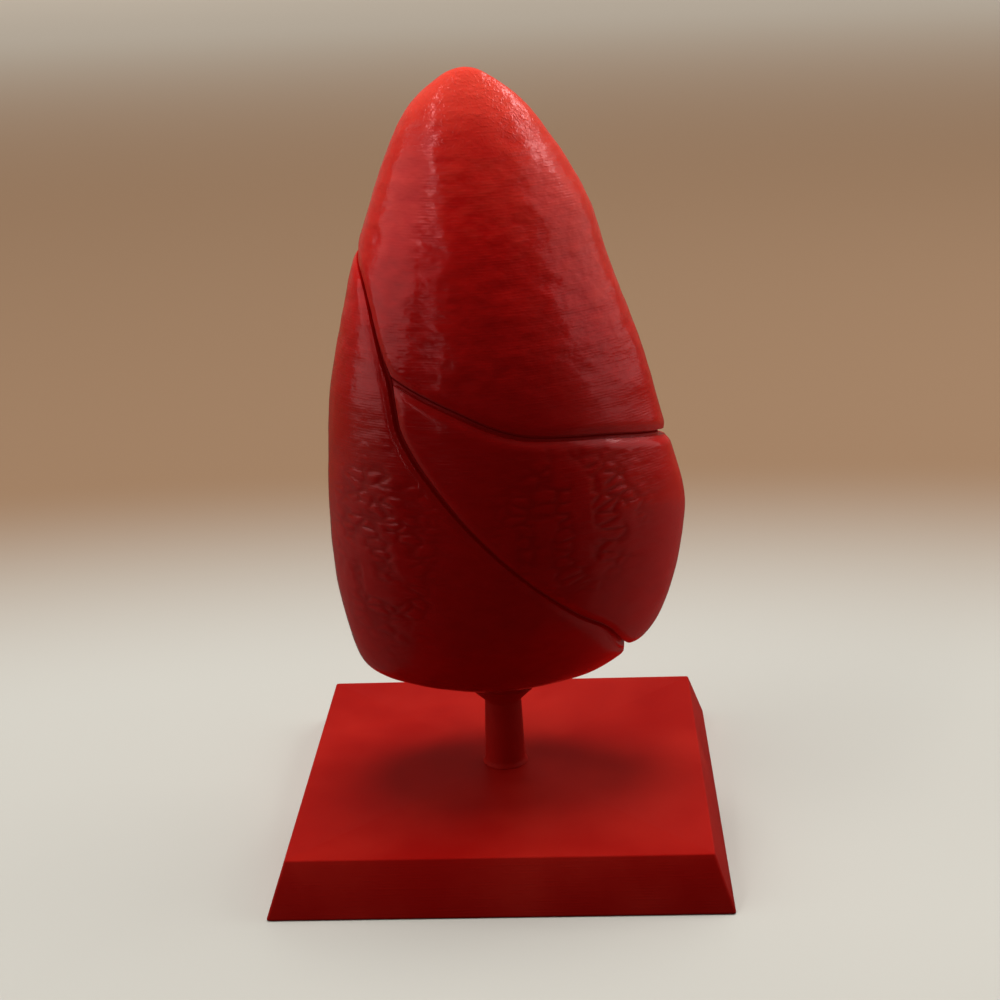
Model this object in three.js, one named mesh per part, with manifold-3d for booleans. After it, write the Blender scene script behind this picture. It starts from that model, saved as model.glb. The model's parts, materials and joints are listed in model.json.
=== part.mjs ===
// Anatomical model of a right lung on a post and a square plinth. Its three lobes lift apart.
// Millimetres, +Z up. The origin is the middle of the plinth's underside. The lung's outer side
// faces -Y, its front edge +X and its hilum +Y.
import * as THREE from 'three';
import { mergeVertices } from 'three/addons/utils/BufferGeometryUtils.js';
import Module from 'manifold-3d';

// Plinth
const plinthWidth = 90;
const plinthTopWidth = 82.4;
const plinthHeight = 11;
const postSocketDepth = 4;

// Post
const postExposedLength = 20.6;
const postFootRadius = 4.25;
const postNeckRadius = 3.8;
const postHeadRadius = 7.5;
const postHeadRim = 2.4;
const postFootFlare = 0.6;

// Screw that joins the post to the plinth
const screwRadius = 2;
const screwHeadRadius = 4;
const screwLength = 14;
const screwRecess = 0.6;
const hexSocketRadius = 1.45;
const hexSocketDepth = 1.4;

// Steel dowel that carries the lung
const postDowelRadius = 2;
const postDowelLength = 24;
const postDowelDepthInPost = 12;

// Lung
const lungWidth = 71.5;
const lungHeight = 123;
const lungDepth = 45;
const heartHollowDepth = 6;
const hilumHollowDepth = 3.5;
const fissureGap = 0.4;

// Small dowels and magnets between the lobes
const lobeDowelRadius = 1.5;
const lobeDowelLength = 12;
const magnetRadius = 3;
const magnetHeight = 2;

// Vessel and bronchus stubs at the hilum
const upperBronchusRadius = 3.6;
const middleBronchusRadius = 2.8;
const lowerBronchusRadius = 3.8;
const arteryRadius = 3.8;
const superiorVeinRadius = 2.8;
const inferiorVeinRadius = 3.2;
const stubWall = 1.1;
const stubSeatDepth = 6;
const stubLength = 12;
const stubBoreDepth = 5;

// Clearance round whatever seats in a bore, pocket or socket, and under what rests on a seat
const clearance = 0.3;

// Fineness of the faceted surfaces
const lungRings = 30;
const lungSides = 40;
const roundSides = 32;
const smallRoundSides = 20;

// Levels that follow from the sizes above
const postBottom = plinthHeight - postSocketDepth;
const postTop = plinthHeight + postExposedLength;
const lungSeat = postTop + clearance;
const cutterReach = 2 * (lungWidth + lungHeight);

// How far a cutter runs past the face that it opens
const cutOverlap = 1;

// Edges and faces of the lung in rings from its underside to its apex. The back and front edges are
// shares of the lung's width from the post's axis and of its height above its seat. The outer and
// inner faces are shares of its depth.
const lungProfile = [
  { back: [-0.042, -0.002], front: [-0.042, -0.002], outer: 0.022, inner: 0.022 },
  { back: [-0.192, -0.003], front: [0.128, -0.011], outer: -0.145, inner: 0.211 },
  { back: [-0.324, 0.006], front: [0.267, -0.009], outer: -0.264, inner: 0.333 },
  { back: [-0.406, 0.032], front: [0.373, 0.028], outer: -0.361, inner: 0.411 },
  { back: [-0.448, 0.124], front: [0.458, 0.081], outer: -0.433, inner: 0.456 },
  { back: [-0.465, 0.213], front: [0.512, 0.17], outer: -0.489, inner: 0.478 },
  { back: [-0.466, 0.3], front: [0.534, 0.252], outer: -0.52, inner: 0.478 },
  { back: [-0.459, 0.388], front: [0.533, 0.316], outer: -0.529, inner: 0.473 },
  { back: [-0.446, 0.486], front: [0.49, 0.408], outer: -0.511, inner: 0.462 },
  { back: [-0.41, 0.589], front: [0.422, 0.552], outer: -0.462, inner: 0.449 },
  { back: [-0.362, 0.699], front: [0.341, 0.687], outer: -0.387, inner: 0.422 },
  { back: [-0.3, 0.802], front: [0.283, 0.794], outer: -0.289, inner: 0.387 },
  { back: [-0.233, 0.897], front: [0.189, 0.888], outer: -0.164, inner: 0.324 },
  { back: [-0.151, 0.963], front: [0.087, 0.958], outer: -0.027, inner: 0.231 },
  { back: [-0.036, 0.996], front: [-0.036, 0.996], outer: 0.1, inner: 0.1 },
];

// The front edge is thinner than the back and curls towards the inner side, in shares of half the
// depth. The rest of the ring is an ellipse.
const frontEdgeThinning = 0.3;
const frontEdgeCurl = 0.136;

// Hollows for the heart and for the hilum on the inner side, placed in the same shares
const hollows = [
  { depth: heartHollowDepth, centre: [0.208, 0.245], reach: [0.167, 0.154] },
  { depth: hilumHollowDepth, centre: [0.014, 0.44], reach: [0.111, 0.106] },
];

// Fissures on the lung's middle plane, in the same shares of its width and height. They run through
// the lung on a slant, so that they meet at the hilum on its inner side.
const obliqueFissureShares = [
  [-0.378, 0.749],
  [-0.33, 0.711],
  [-0.283, 0.676],
  [-0.244, 0.632],
  [-0.212, 0.585],
  [-0.186, 0.548],
  [-0.161, 0.517],
  [-0.145, 0.476],
  [-0.129, 0.437],
  [-0.095, 0.401],
  [-0.047, 0.36],
  [0.068, 0.274],
  [0.197, 0.188],
  [0.306, 0.121],
  [0.369, 0.083],
  [0.379, 0.015],
];
const horizontalFissureShares = [
  [-0.242, 0.553],
  [-0.152, 0.518],
  [-0.058, 0.489],
  [0.036, 0.463],
  [0.127, 0.437],
  [0.209, 0.422],
  [0.292, 0.418],
  [0.384, 0.417],
  [0.481, 0.412],
  [0.699, 0.403],
];
const fissureSlant = new THREE.Vector3(0.4, 1, -0.2);

// Ways in which the lobes come off: the upper one straight up, the middle one forwards and up
const upperLobeWay = new THREE.Vector3(0, 0, 1);
const middleLobeWay = new THREE.Vector3(1, 0, 1).normalize();

// Materials
const redPrint = new THREE.MeshStandardMaterial({ color: 0xa01410, roughness: 0.4, metalness: 0 });
const steel = new THREE.MeshStandardMaterial({ color: 0xb4b8bc, roughness: 0.35, metalness: 1 });
const nickel = new THREE.MeshStandardMaterial({ color: 0xd2d3d6, roughness: 0.2, metalness: 1 });

const wasm = await Module();
wasm.setup();

// A solid for cutting and joining, from a closed geometry
function solidOf(geometry) {
  geometry.deleteAttribute('normal');
  geometry.deleteAttribute('uv');
  const merged = mergeVertices(geometry);
  const mesh = new wasm.Mesh({
    numProp: 3,
    vertProperties: new Float32Array(merged.attributes.position.array),
    triVerts: new Uint32Array(merged.index.array),
  });
  return new wasm.Manifold(mesh);
}

function geometryOf(solid) {
  const mesh = solid.getMesh();
  const geometry = new THREE.BufferGeometry();
  geometry.setAttribute('position', new THREE.BufferAttribute(mesh.vertProperties, 3));
  geometry.setIndex(new THREE.BufferAttribute(mesh.triVerts, 1));
  geometry.computeVertexNormals();
  return geometry;
}

function placed(geometry, position, way) {
  const turn = new THREE.Quaternion().setFromUnitVectors(new THREE.Vector3(0, 1, 0), way);
  geometry.applyQuaternion(turn);
  geometry.translate(position.x, position.y, position.z);
  return geometry;
}

// A round bar, centred on a position and lying along a direction
function bar(radius, length, sides, position, way) {
  return placed(new THREE.CylinderGeometry(radius, radius, length, sides), position, way);
}

function upright(radius, bottom, top, sides) {
  const middle = new THREE.Vector3(0, 0, (bottom + top) / 2);
  return bar(radius, top - bottom, sides, middle, new THREE.Vector3(0, 0, 1));
}

// A turned solid about the Z axis, from radius and height pairs that start and end on the axis
function turned(profile, sides) {
  const points = profile.map(([radius, height]) => new THREE.Vector2(radius, height));
  return new THREE.LatheGeometry(points, sides).rotateX(Math.PI / 2);
}

const part = new THREE.Group();

function addMesh(name, geometry, material) {
  const mesh = new THREE.Mesh(geometry, material);
  mesh.name = name;
  part.add(mesh);
  return mesh;
}

// Plinth: a flat-topped pyramid with a socket for the post and a countersunk hole for its screw. A
// four-sided cone's radius is the distance from its middle to a corner.
const plinthCorner = Math.SQRT1_2;
const plinthBlock = new THREE.CylinderGeometry(
  plinthTopWidth * plinthCorner,
  plinthWidth * plinthCorner,
  plinthHeight,
  4,
);
plinthBlock.rotateY(Math.PI / 4);
plinthBlock.rotateX(Math.PI / 2);
plinthBlock.translate(0, 0, plinthHeight / 2);
const screwHeadHeight = screwHeadRadius - screwRadius;
const screwHeadTop = screwRecess + screwHeadHeight;
const plinthSocket = upright(
  postFootRadius + clearance,
  postBottom,
  plinthHeight + cutOverlap,
  roundSides,
);
const plinthScrewHole = turned([
  [0, -cutOverlap],
  [screwHeadRadius + clearance, -cutOverlap],
  [screwHeadRadius + clearance, screwRecess],
  [screwRadius + clearance, screwHeadTop],
  [screwRadius + clearance, postBottom + cutOverlap],
  [0, postBottom + cutOverlap],
], smallRoundSides);
const plinthSolid = solidOf(plinthBlock).subtract(solidOf(plinthSocket)).subtract(solidOf(plinthScrewHole));
addMesh('base_plinth', geometryOf(plinthSolid), redPrint);

// Post: a tapered column with a small flare on the plinth and a wide one under the lung, bored at
// its foot for the screw and at its head for the dowel
const postFoot = postBottom + clearance;
const postRest = plinthHeight + clearance;
const postHeadFlare = postHeadRadius - postNeckRadius;
const postHeadUnderside = postTop - postHeadRim;
const postScrewBoreTop = screwRecess + screwLength + clearance;
const postDowelBoreBottom = postTop - postDowelDepthInPost - clearance;
addMesh('stand_post', turned([
  [0, postScrewBoreTop],
  [screwRadius + clearance, postScrewBoreTop],
  [screwRadius + clearance, postFoot],
  [postFootRadius, postFoot],
  [postFootRadius, postRest],
  [postFootRadius + postFootFlare, postRest],
  [postFootRadius, postRest + postFootFlare],
  [postNeckRadius, postHeadUnderside - postHeadFlare],
  [postHeadRadius, postHeadUnderside],
  [postHeadRadius, postTop],
  [postDowelRadius + clearance, postTop],
  [postDowelRadius + clearance, postDowelBoreBottom],
  [0, postDowelBoreBottom],
], roundSides), redPrint);

// Countersunk screw from below, with a hexagon socket
const screwBody = turned([
  [0, screwRecess],
  [screwHeadRadius, screwRecess],
  [screwRadius, screwHeadTop],
  [screwRadius, screwRecess + screwLength],
  [0, screwRecess + screwLength],
], smallRoundSides);
const screwSocket = upright(hexSocketRadius, 0, screwRecess + hexSocketDepth, 6);
addMesh('post_screw', geometryOf(solidOf(screwBody).subtract(solidOf(screwSocket))), steel);

// Dowel between the post's head and the lower lobe
const postDowelBottom = postTop - postDowelDepthInPost;
const postDowelTop = postDowelBottom + postDowelLength;
addMesh('post_dowel', upright(postDowelRadius, postDowelBottom, postDowelTop, smallRoundSides), steel);

// A place in the lung's width and height, on its middle plane
function lungPlace([across, up]) {
  return new THREE.Vector3(across * lungWidth, 0, lungSeat + up * lungHeight);
}

// A smooth loop up one side of the profile and down the other
function profileLoop(upSide, downSide) {
  const inner = downSide.slice(1, -1).reverse();
  return new THREE.CatmullRomCurve3([...upSide, ...inner], true, 'catmullrom', 0.5);
}

const borderLoop = profileLoop(
  lungProfile.map((row) => lungPlace(row.back)),
  lungProfile.map((row) => lungPlace(row.front)),
);
const faceLoop = profileLoop(
  lungProfile.map((row) => new THREE.Vector3(0, row.outer * lungDepth, 0)),
  lungProfile.map((row) => new THREE.Vector3(0, row.inner * lungDepth, 0)),
);

// A point of the lung's surface. Rise goes from 0 at the underside to 1 at the apex, and the angle
// round the ring starts at the front edge and goes by the inner face, the back and the outer face.
function lungPoint(rise, angle) {
  const back = borderLoop.getPoint(rise / 2);
  const front = borderLoop.getPoint(1 - rise / 2);
  const outer = faceLoop.getPoint(rise / 2).y;
  const inner = faceLoop.getPoint(1 - rise / 2).y;
  const forward = (1 + Math.cos(angle)) / 2;
  const halfDepth = (inner - outer) / 2;
  const thinning = 1 - frontEdgeThinning * forward ** 3;
  const point = back.lerp(front, forward);
  point.y = (inner + outer) / 2;
  point.y += halfDepth * (Math.sin(angle) * thinning + frontEdgeCurl * forward ** 2);
  const inwardness = Math.max(0, Math.sin(angle)) ** 2;
  for (const hollow of hollows) {
    const centre = lungPlace(hollow.centre);
    const across = (point.x - centre.x) / (hollow.reach[0] * lungWidth);
    const up = (point.z - centre.z) / (hollow.reach[1] * lungHeight);
    point.y -= inwardness * hollow.depth * Math.exp(-(across ** 2) - up ** 2);
  }
  return point;
}

function lungGeometry() {
  const points = [];
  for (let ring = 1; ring < lungRings; ring += 1) {
    for (let side = 0; side < lungSides; side += 1) {
      points.push(lungPoint(ring / lungRings, (side / lungSides) * 2 * Math.PI));
    }
  }
  const underside = points.push(lungPoint(0, 0)) - 1;
  const apex = points.push(lungPoint(1, 0)) - 1;
  const faces = [];
  const lastRing = (lungRings - 2) * lungSides;
  for (let side = 0; side < lungSides; side += 1) {
    const next = (side + 1) % lungSides;
    faces.push(underside, next, side);
    faces.push(apex, lastRing + side, lastRing + next);
    for (let ring = 0; ring < lastRing; ring += lungSides) {
      faces.push(ring + side, ring + next, ring + lungSides + next);
      faces.push(ring + side, ring + lungSides + next, ring + lungSides + side);
    }
  }
  return new THREE.BufferGeometry().setFromPoints(points).setIndex(faces);
}

// Fissures
function fissureCurve(shares) {
  return new THREE.CatmullRomCurve3(shares.map(lungPlace), false, 'catmullrom', 0.5);
}

const obliqueFissure = fissureCurve(obliqueFissureShares);
const horizontalFissure = fissureCurve(horizontalFissureShares);

// The point on a fissure at a share of its length on the middle plane and at a share of the lung's
// depth from there, with the direction square to the fissure, which points up and forwards
function fissureSpot(curve, along, across) {
  const position = curve.getPoint(along).addScaledVector(fissureSlant, across * lungDepth);
  const normal = curve.getTangent(along).cross(fissureSlant).normalize();
  return { position, normal };
}

// Everything on one side of a fissure, half the fissure's gap away from it. The block is drawn on
// the middle plane and runs along the slant.
function blockBeside(curve, steps, side) {
  const edge = [];
  for (let step = 0; step <= steps; step += 1) {
    const point = curve.getPoint(step / steps);
    const tangent = curve.getTangent(step / steps);
    const offset = side * fissureGap / 2;
    edge.push(new THREE.Vector2(point.x - offset * tangent.z, point.z + offset * tangent.x));
  }
  const first = edge[0];
  const last = edge[steps];
  edge.push(new THREE.Vector2(cutterReach, last.y));
  edge.push(new THREE.Vector2(cutterReach, side * cutterReach));
  edge.push(new THREE.Vector2(-cutterReach, side * cutterReach));
  edge.push(new THREE.Vector2(-cutterReach, first.y));
  const block = new THREE.ExtrudeGeometry(new THREE.Shape(edge), {
    depth: 2 * lungDepth,
    steps: 1,
    bevelEnabled: false,
  });
  block.translate(0, 0, -lungDepth);
  const toLung = new THREE.Matrix4().makeBasis(
    new THREE.Vector3(1, 0, 0),
    new THREE.Vector3(0, 0, 1),
    fissureSlant.clone().negate(),
  );
  return solidOf(block.applyMatrix4(toLung));
}

const obliqueSteps = 30;
const horizontalSteps = 16;
const lung = solidOf(lungGeometry());
const frontPart = lung.intersect(blockBeside(obliqueFissure, obliqueSteps, 1));
const lobes = {
  lower_lobe: lung.intersect(blockBeside(obliqueFissure, obliqueSteps, -1)),
  middle_lobe: frontPart.intersect(blockBeside(horizontalFissure, horizontalSteps, -1)),
  upper_lobe: frontPart.intersect(blockBeside(horizontalFissure, horizontalSteps, 1)),
};

function cutFrom(lobe, geometry) {
  lobes[lobe] = lobes[lobe].subtract(solidOf(geometry));
}

// Seat for the post's head and bore for its dowel, in the lower lobe's underside
const headSeat = upright(postHeadRadius + clearance, 0, lungSeat, roundSides);
const dowelBore = upright(postDowelRadius + clearance, 0, postDowelTop + clearance, smallRoundSides);
cutFrom('lower_lobe', headSeat);
cutFrom('lower_lobe', dowelBore);

// Locating dowels across the fissures, each along the way that its upper piece comes off. Their
// places are shares of the fissure's length and of the lung's depth.
const horizontalPair = { curve: horizontalFissure, above: 'upper_lobe', below: 'middle_lobe' };
const lowObliquePair = { curve: obliqueFissure, above: 'middle_lobe', below: 'lower_lobe' };
const highObliquePair = { curve: obliqueFissure, above: 'upper_lobe', below: 'lower_lobe' };
const lobeDowels = [
  { name: 'upper_dowel_front', pair: horizontalPair, along: 0.56, across: -0.06, way: upperLobeWay },
  { name: 'upper_dowel_back', pair: horizontalPair, along: 0.2, across: -0.16, way: upperLobeWay },
  { name: 'middle_dowel_high', pair: lowObliquePair, along: 0.6, across: -0.04, way: middleLobeWay },
  { name: 'middle_dowel_low', pair: lowObliquePair, along: 0.8, across: 0.02, way: middleLobeWay },
];
for (const { name, pair, along, across, way } of lobeDowels) {
  const { position } = fissureSpot(pair.curve, along, across);
  const boreLength = lobeDowelLength + 2 * clearance;
  for (const lobe of [pair.above, pair.below]) {
    cutFrom(lobe, bar(lobeDowelRadius + clearance, boreLength, smallRoundSides, position, way));
  }
  addMesh(name, bar(lobeDowelRadius, lobeDowelLength, smallRoundSides, position, way), steel);
}

// Pairs of disc magnets, face to face across the fissures in pockets square to them
const lobeMagnets = [
  { name: 'front', pair: horizontalPair, along: 0.7, across: 0 },
  { name: 'rear', pair: horizontalPair, along: 0.36, across: 0.06 },
  { name: 'high', pair: lowObliquePair, along: 0.68, across: 0 },
  { name: 'low', pair: lowObliquePair, along: 0.74, across: -0.04 },
  { name: 'back', pair: highObliquePair, along: 0.27, across: 0.02 },
];
for (const { name, pair, along, across } of lobeMagnets) {
  const { position, normal } = fissureSpot(pair.curve, along, across);
  for (const [lobe, side] of [[pair.above, 1], [pair.below, -1]]) {
    const pocketDepth = fissureGap / 2 + magnetHeight + 2 * clearance;
    const way = normal.clone().multiplyScalar(side);
    const pocketCentre = position.clone().addScaledVector(way, pocketDepth / 2);
    const magnetCentre = position.clone().addScaledVector(way, pocketDepth - clearance - magnetHeight / 2);
    cutFrom(lobe, bar(magnetRadius + clearance, pocketDepth, smallRoundSides, pocketCentre, way));
    const disc = bar(magnetRadius, magnetHeight, smallRoundSides, magnetCentre, way);
    addMesh(`${lobe}_magnet_${name}`, disc, nickel);
  }
}

// Vessel and bronchus stubs: short tubes with a blind bore, each seated in a socket in the inner face.
// Their places are shares of the lung's width and height.
const hilumStubs = [
  { name: 'upper_lobe_bronchus', lobe: 'upper_lobe', place: [0, 0.553], radius: upperBronchusRadius },
  { name: 'pulmonary_artery', lobe: 'upper_lobe', place: [0.118, 0.52], radius: arteryRadius },
  { name: 'superior_pulmonary_vein', lobe: 'upper_lobe', place: [0.24, 0.475], radius: superiorVeinRadius },
  { name: 'middle_lobe_bronchus', lobe: 'middle_lobe', place: [0.118, 0.376], radius: middleBronchusRadius },
  { name: 'lower_lobe_bronchus', lobe: 'lower_lobe', place: [-0.125, 0.424], radius: lowerBronchusRadius },
  { name: 'inferior_pulmonary_vein', lobe: 'lower_lobe', place: [-0.07, 0.318], radius: inferiorVeinRadius },
];
const wholeLung = new THREE.Mesh(geometryOf(lung));
const outwards = new THREE.Vector3(0, 1, 0);
for (const { name, lobe, place, radius } of hilumStubs) {
  const above = lungPlace(place).setY(lungDepth);
  const caster = new THREE.Raycaster(above, outwards.clone().negate());
  const surface = caster.intersectObject(wholeLung)[0].point;
  const socketDepth = stubSeatDepth + clearance;
  const socketCentre = surface.clone().addScaledVector(outwards, (stubLength - socketDepth) / 2);
  cutFrom(lobe, bar(radius + clearance, stubLength + socketDepth, smallRoundSides, socketCentre, outwards));
  const tube = new THREE.LatheGeometry([
    new THREE.Vector2(0, 0),
    new THREE.Vector2(radius, 0),
    new THREE.Vector2(radius, stubLength),
    new THREE.Vector2(radius - stubWall, stubLength),
    new THREE.Vector2(radius - stubWall, stubLength - stubBoreDepth),
    new THREE.Vector2(0, stubLength - stubBoreDepth),
  ], smallRoundSides);
  const mesh = addMesh(name, tube, redPrint);
  mesh.position.copy(surface).addScaledVector(outwards, -stubSeatDepth);
}

for (const [name, solid] of Object.entries(lobes)) {
  addMesh(name, geometryOf(solid), redPrint);
}

export default part;
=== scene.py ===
"""Anatomical model of a right lung on a post and a bevelled square plinth, finished for rendering.

Metres, +Z up. The lung's outer side faces -Y, its front edge +X and its hilum +Y. The script
registers an operator for each group of pieces and one for the stage, and then runs them in order.
"""
import json
import math

import bpy
import numpy as np
from bpy.props import FloatProperty, FloatVectorProperty, PointerProperty
from mathutils import Matrix, Vector


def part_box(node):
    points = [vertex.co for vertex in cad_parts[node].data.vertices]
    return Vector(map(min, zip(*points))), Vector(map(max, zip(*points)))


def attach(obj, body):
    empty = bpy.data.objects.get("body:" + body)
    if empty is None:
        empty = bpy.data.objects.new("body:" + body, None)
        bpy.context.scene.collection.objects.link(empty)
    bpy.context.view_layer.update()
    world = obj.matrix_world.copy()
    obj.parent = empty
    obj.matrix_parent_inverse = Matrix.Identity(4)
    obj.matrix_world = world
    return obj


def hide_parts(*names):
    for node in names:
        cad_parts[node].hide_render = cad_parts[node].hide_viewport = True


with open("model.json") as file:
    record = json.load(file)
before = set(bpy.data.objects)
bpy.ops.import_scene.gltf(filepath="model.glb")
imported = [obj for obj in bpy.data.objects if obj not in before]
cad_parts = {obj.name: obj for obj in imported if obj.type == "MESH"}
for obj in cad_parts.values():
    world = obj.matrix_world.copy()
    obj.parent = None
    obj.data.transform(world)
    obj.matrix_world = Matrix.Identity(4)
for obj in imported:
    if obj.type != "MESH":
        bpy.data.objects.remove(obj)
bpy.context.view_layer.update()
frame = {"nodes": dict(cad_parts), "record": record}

bl_info = {
    "name": "Lung model",
    "version": (1, 0, 0),
    "blender": (4, 5, 0),
    "location": "View3D > Sidebar > Lung model",
    "description": "Builds a three-lobed lung model on its stand, with finishes and a studio stage",
    "category": "Object",
}

BODIES = frame["record"]["behaviour"]["bodies"]
MM = 0.001

# The lung's edges and faces in rings from its underside to its apex: back edge across and up,
# front edge across and up, outer face, inner face. Across and up are shares of the lung's width
# from the post's axis and of its height above its seat, and the faces are shares of its depth.
LUNG_PROFILE = np.array([
    (-0.042, -0.002, -0.042, -0.002, 0.022, 0.022),
    (-0.192, -0.003, 0.128, -0.011, -0.145, 0.211),
    (-0.324, 0.006, 0.267, -0.009, -0.264, 0.333),
    (-0.406, 0.032, 0.373, 0.028, -0.361, 0.411),
    (-0.448, 0.124, 0.458, 0.081, -0.433, 0.456),
    (-0.465, 0.213, 0.512, 0.17, -0.489, 0.478),
    (-0.466, 0.3, 0.534, 0.252, -0.52, 0.478),
    (-0.459, 0.388, 0.533, 0.316, -0.529, 0.473),
    (-0.446, 0.486, 0.49, 0.408, -0.511, 0.462),
    (-0.41, 0.589, 0.422, 0.552, -0.462, 0.449),
    (-0.362, 0.699, 0.341, 0.687, -0.387, 0.422),
    (-0.3, 0.802, 0.283, 0.794, -0.289, 0.387),
    (-0.233, 0.897, 0.189, 0.888, -0.164, 0.324),
    (-0.151, 0.963, 0.087, 0.958, -0.027, 0.231),
    (-0.036, 0.996, -0.036, 0.996, 0.1, 0.1),
])

# At the front edge: how much thinner the lung is than an ellipse, and how far it curls inwards, as
# shares of half its thickness
FRONT_EDGE_THINNING = 0.3
FRONT_EDGE_CURL = 0.136

# Hollows on the inner side: place and reach in the same shares across and up
HEART_HOLLOW = ((0.208, 0.245), (0.167, 0.154))
HILUM_HOLLOW = ((0.014, 0.44), (0.111, 0.106))

# Fissures on the lung's middle plane, in the same shares
OBLIQUE_FISSURE = np.array([
    (-0.378, 0.749), (-0.33, 0.711), (-0.283, 0.676), (-0.244, 0.632), (-0.212, 0.585),
    (-0.186, 0.548), (-0.161, 0.517), (-0.145, 0.476), (-0.129, 0.437), (-0.095, 0.401),
    (-0.047, 0.36), (0.068, 0.274), (0.197, 0.188), (0.306, 0.121), (0.369, 0.083),
    (0.379, 0.015),
])
HORIZONTAL_FISSURE = np.array([
    (-0.242, 0.553), (-0.152, 0.518), (-0.058, 0.489), (0.036, 0.463), (0.127, 0.437),
    (0.209, 0.422), (0.292, 0.418), (0.384, 0.417), (0.481, 0.412), (0.699, 0.403),
])

# Widths in mm of the open channel over each fissure, at the same knots
OBLIQUE_CHANNEL = [0.7, 0.7, 0.7, 0.8, 0.9, 1.2, 1.5, 1.4, 1.3, 1.2, 1.1, 0.9, 0.85, 0.9, 1.0, 1.2]
HORIZONTAL_CHANNEL = [1.4, 1.4, 1.4, 1.4, 1.35, 1.3, 1.25, 1.2, 1.2, 1.2]

# How far a fissure moves along X and Z for each unit of Y
FISSURE_SLANT = np.array([0.4, -0.2])

# Sides of the fissures on which each lobe lies: -1 is under a fissure and 1 over it
LOBE_SIDES = {
    "lower_lobe": (("oblique", -1),),
    "middle_lobe": (("oblique", 1), ("horizontal", -1)),
    "upper_lobe": (("oblique", 1), ("horizontal", 1)),
}

# Notch in the lower lobe under the front end of the oblique fissure: its outline on the middle
# plane as X and Z in mm, how far it moves along them for each unit of Y, and its reach along Y
NOTCH_OUTLINE = np.array([
    (25.67, 38.2), (25.61, 36.5), (25.46, 35.49), (24.99, 34.73), (23.97, 34.06), (23.9, 32),
    (31.5, 32), (31.5, 38.2),
])
NOTCH_SLANT = np.array([0.024, -0.429])
NOTCH_REACH = 20 * MM

# Noise in the skin's relief: share of the height, cell along X, Y and Z in mm, seed
SWELL_NOISE = ((0.6, (11, 11, 11), 1), (0.4, (4.5, 4.5, 4.5), 2))
LUMP_NOISE = ((1, (4, 4, 2.4), 3), (0.5, (1.7, 1.7, 1.7), 4))

# Lumps: share of their height that they have low down, and heights between which they grow
FAINT_LUMPS = 0.2
LUMPS_GROW = (88 * MM, 105 * MM)

# Creased skin: oval fields with their middle and reach along X and Z in mm, shares of its reach
# where a field starts and stops fading, proportions of a plate along X, Y and Z, and half the
# width of a crease in plates
CREASED_FIELDS = (((-20.5, 65), (12, 25)), ((15.5, 70), (16, 18)))
FIELD_FADE = (0.5, 1.2)
PLATE_SHAPE = np.array([1.55, 1.55, 0.75])
CREASE_HALF = 0.28

# Lobes in which the dowels seat, by the first word of a dowel's name: the lobe that slides over it
# and, apart from the post's dowel, the one that it is fixed in
DOWEL_LOBES = {
    "upper": ("upper_lobe", "middle_lobe"),
    "middle": ("middle_lobe", "lower_lobe"),
    "post": ("lower_lobe",),
}

# Clearance round what seats in a bore, pocket or socket
CLEARANCE = 0.3 * MM

# Stubs: last words of their names, depth of their seat in the lobe, wall, depth of the bore, and
# the collar round them as its height and its place from the skin in mm
STUB_ENDINGS = ("bronchus", "artery", "vein")
STUB_SEAT = 6 * MM
STUB_WALL = 1.1 * MM
STUB_BORE = 5 * MM
STUB_COLLAR = ((0, -1.2), (0.7, -0.6), (0.7, 0.5), (0, 1.6))

# Plinth: half the width of its top, radius of its corners and of its edges
PLINTH_TOP = 41.2 * MM
PLINTH_CORNER = 0.5 * MM
PLINTH_EDGE = 0.35 * MM

# Post: radius at the foot and under the head, width and height of the fillet on the plinth, and
# height of the head's rim
POST_FOOT = 4.25 * MM
POST_NECK = 3.8 * MM
POST_FILLET = (0.6 * MM, 0.9 * MM)
POST_RIM = 2.4 * MM

# Screw: radius of the shank, pitch and depth of its thread, radius and depth of its hexagon socket
SCREW_SHANK = 2 * MM
SCREW_PITCH = 0.7 * MM
SCREW_THREAD = 0.3 * MM
SCREW_SOCKET = (1.45 * MM, 1.4 * MM)

# Rounding of the rims of dowels and magnets
DOWEL_EDGE = 0.35 * MM
MAGNET_EDGE = 0.2 * MM

# Fineness: rings and sides of the lung's skin and of its core, points along a fissure, sides of
# turned pieces and of the tools for bores and for sockets
SKIN_GRID = (460, 436)
CORE_GRID = (150, 160)
FISSURE_STEPS = 400
TURNED_SIDES = 96
BORE_SIDES = 48
SOCKET_SIDES = 64

# Shader values that both red prints share. Their emission is a faint painted glow of light inside
# the plastic.
PRINT_LOOK_AND_PAINTED_GLOW = {
    "Emission Color": (1.0, 0.005, 0.003, 1.0),
    "Subsurface Radius": (1.0, 0.12, 0.06),
    "Subsurface Scale": 3 * MM,
}

# Heights of the relief that the materials add
LAYER_HEIGHT = 0.012 * MM
SPECK_HEIGHT = 0.05 * MM
FINE_LUMP_HEIGHT = 0.2 * MM
TURNING_MARK_HEIGHT = 0.004 * MM

# Lamps that face the lung: the directions of their foot and head as turn and rise in degrees,
# width in metres, brightness, distance in metres, and whether gloss shows them
PANELS = {
    "back panel": ((180, 4), (180, 40), 10.8, 0.9, 6.0, False),
    "left high strip": ((-58, 53), (-95, 64), 0.045, 14.0, 0.9, True),
    "left strip": ((-36, 34), (-58, 53), 0.035, 11.0, 0.9, True),
    "left low strip": ((-19, 0), (-36, 34), 0.03, 3.5, 0.9, True),
    "left panel": ((-62, -5), (-84, 44), 0.85, 1.1, 1.0, True),
    "right high strip": ((112, 43), (145, 39), 0.1, 8.0, 0.9, True),
    "right strip": ((97, 30), (112, 45), 0.12, 5.0, 0.9, True),
    "right panel": ((92, 2), (92, 42), 0.8, 0.9, 1.0, True),
}
PANEL_AIM = Vector((0, 0, 0.09))

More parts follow.
